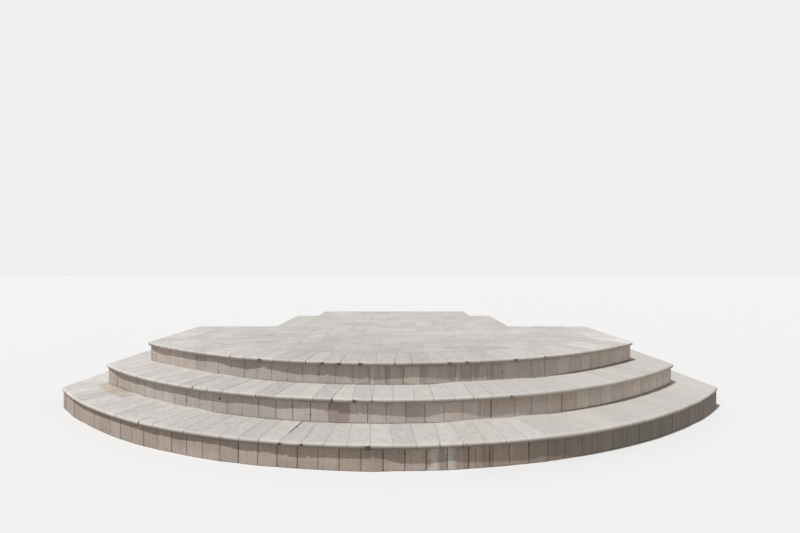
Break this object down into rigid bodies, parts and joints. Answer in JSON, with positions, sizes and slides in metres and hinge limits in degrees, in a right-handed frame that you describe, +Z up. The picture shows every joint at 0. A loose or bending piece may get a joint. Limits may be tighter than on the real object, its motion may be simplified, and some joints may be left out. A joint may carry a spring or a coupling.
{
  "type": "outdoor stone steps",
  "caption": "Curved outdoor stone steps with rounded nosings, ledges that return along the sides, and a paved landing that runs back as a porch floor.",
  "frame": {"origin": "centre of the footprint's box, on the ground", "axes": "+X along the width, to the right as one walks up; +Y towards the house; +Z up"},
  "size_m": [5.15, 3.5598, 0.48],
  "materials": {
    "tread_stone": "smooth sawn limestone, light grey, matt",
    "nosing_stone": "smooth sawn limestone, warm light grey, matt",
    "paving_stone": "smooth sawn limestone slabs, light grey, matt",
    "riser_stone": "sawn limestone, taupe, matt, with water stains",
    "plain_facing": "plain sawn stone, taupe, matt",
    "core": "cast concrete, rough"
  },
  "bodies": {
    "root": {"bottom_core": "core", "middle_core": "core", "landing_core": "core", "porch_core": "core", "threshold_core": "core", "bottom_riser_left": "riser_stone", "bottom_riser_centre": "riser_stone", "bottom_riser_right": "riser_stone", "bottom_riser_side_left": "riser_stone", "bottom_riser_side_right": "riser_stone", "middle_riser_left": "riser_stone", "middle_riser_centre": "riser_stone", "middle_riser_right": "riser_stone", "middle_riser_side_left": "riser_stone", "middle_riser_side_right": "riser_stone", "landing_riser_left": "riser_stone", "landing_riser_centre": "riser_stone", "landing_riser_right": "riser_stone", "landing_riser_side_left": "riser_stone", "landing_riser_side_right": "riser_stone", "bottom_tread_left": "tread_stone", "bottom_tread_centre": "tread_stone", "bottom_tread_right": "tread_stone", "bottom_tread_side_left": "tread_stone", "bottom_tread_side_right": "tread_stone", "middle_tread_left": "tread_stone", "middle_tread_centre": "tread_stone", "middle_tread_right": "tread_stone", "middle_tread_side_left": "tread_stone", "middle_tread_side_right": "tread_stone", "landing_nosing_left": "nosing_stone", "landing_nosing_centre": "nosing_stone", "landing_nosing_right": "nosing_stone", "landing_edge_left": "nosing_stone", "landing_edge_right": "nosing_stone", "landing_paving_front": "paving_stone", "landing_paving_back": "paving_stone", "porch_paving": "paving_stone", "threshold_paving": "paving_stone", "back_facing_left": "plain_facing", "back_facing_right": "plain_facing", "porch_facing_left": "plain_facing", "porch_facing_right": "plain_facing", "threshold_facing": "plain_facing"}
  },
  "joints": []
}
